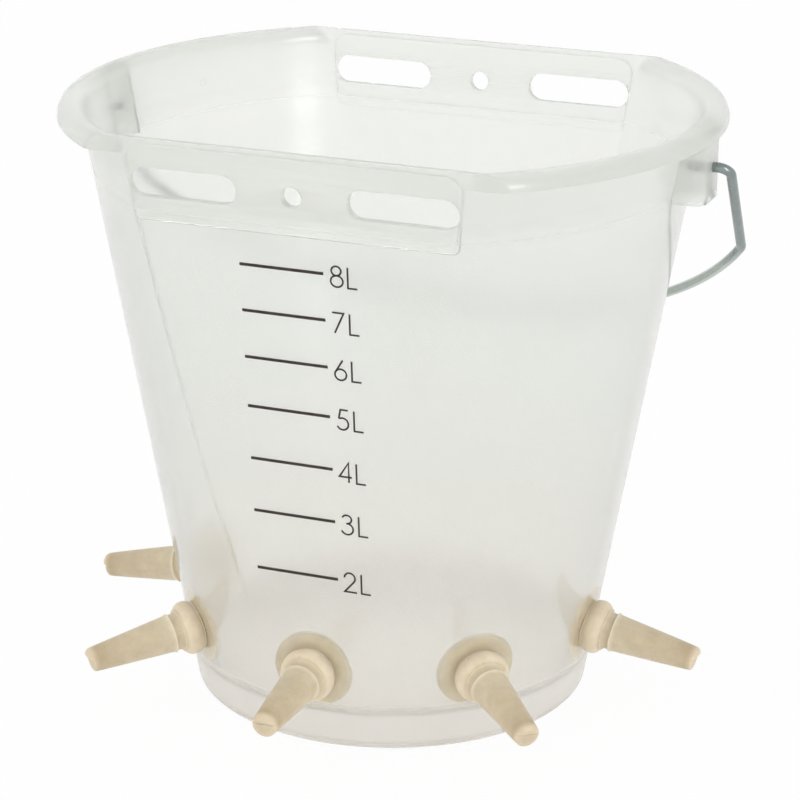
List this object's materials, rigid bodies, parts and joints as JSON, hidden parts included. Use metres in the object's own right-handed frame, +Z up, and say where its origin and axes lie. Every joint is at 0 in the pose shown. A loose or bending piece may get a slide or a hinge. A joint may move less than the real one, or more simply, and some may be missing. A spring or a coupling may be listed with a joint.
{
  "type": "multi-teat milk feeder",
  "caption": "Milk feeding bucket with two slotted flats for hanging on a fence, a swinging wire bail and pull-in rubber teats around the foot.",
  "frame": {"origin": "middle of the footprint at the height of the foot ring's land; the bucket's own axis is 16.7 mm towards +Y because the teats reach further out in front than the bail does behind", "axes": "+Z up along the bucket's axis; X runs through the two ears, +X to the right when the graduated flat is seen from in front; -Y is the side of the graduated flat and the front teat, +Y the side where the bail rests"},
  "size_m": [0.3176, 0.2678, 0.282],
  "materials": {
    "milky_polypropylene": "translucent milky moulding, smooth and faintly satin",
    "galvanised_wire": "bluish grey galvanised wire, dull",
    "scale_ink": "brownish black pad-printed ink, only in the visual model",
    "natural_rubber": "beige natural rubber, satin"
  },
  "bodies": {
    "bucket": {"bucket": "milky_polypropylene", "teat_left": "natural_rubber", "teat_front_left": "natural_rubber", "teat_front": "natural_rubber", "teat_front_right": "natural_rubber", "teat_right": "natural_rubber"},
    "handle": {"bail_handle": "galvanised_wire"}
  },
  "joints": [
    {"name": "bail_swing", "type": "hinge", "parent": "bucket", "child": "handle", "pos_m": [0, 0.01672, 0.263], "axis": [1, 0, 0], "range_deg": [0, 269]}
  ]
}
